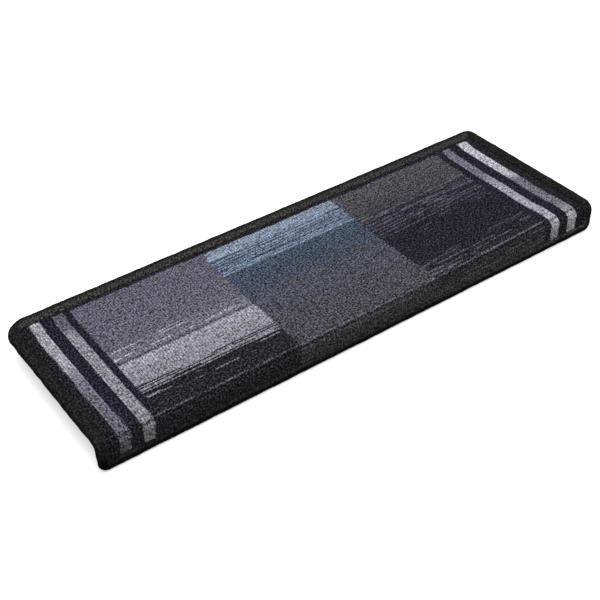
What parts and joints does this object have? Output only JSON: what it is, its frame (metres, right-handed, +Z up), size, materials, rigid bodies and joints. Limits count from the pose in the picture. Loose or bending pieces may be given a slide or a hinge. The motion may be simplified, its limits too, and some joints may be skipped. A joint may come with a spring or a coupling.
{
  "type": "anti slip stair tread mat",
  "caption": "Pile carpet mat that covers a stair tread and folds down over its nose, with dark colour panels, striped ends and a whipped edge.",
  "frame": {"origin": "middle of the flat underside that lies on the stair tread", "axes": "+X along the step, +Y towards the back of the tread, +Z up; the lip hangs down at -Y"},
  "size_m": [0.65, 0.2164, 0.0383],
  "materials": {
    "carpet_pile": "matte looped pile, printed in dark grey, slate blue and black",
    "whipping_yarn": "matte black overlock yarn"
  },
  "bodies": {
    "root": {"carpet_mat": "carpet_pile", "edge_whipping": "whipping_yarn"}
  },
  "joints": []
}
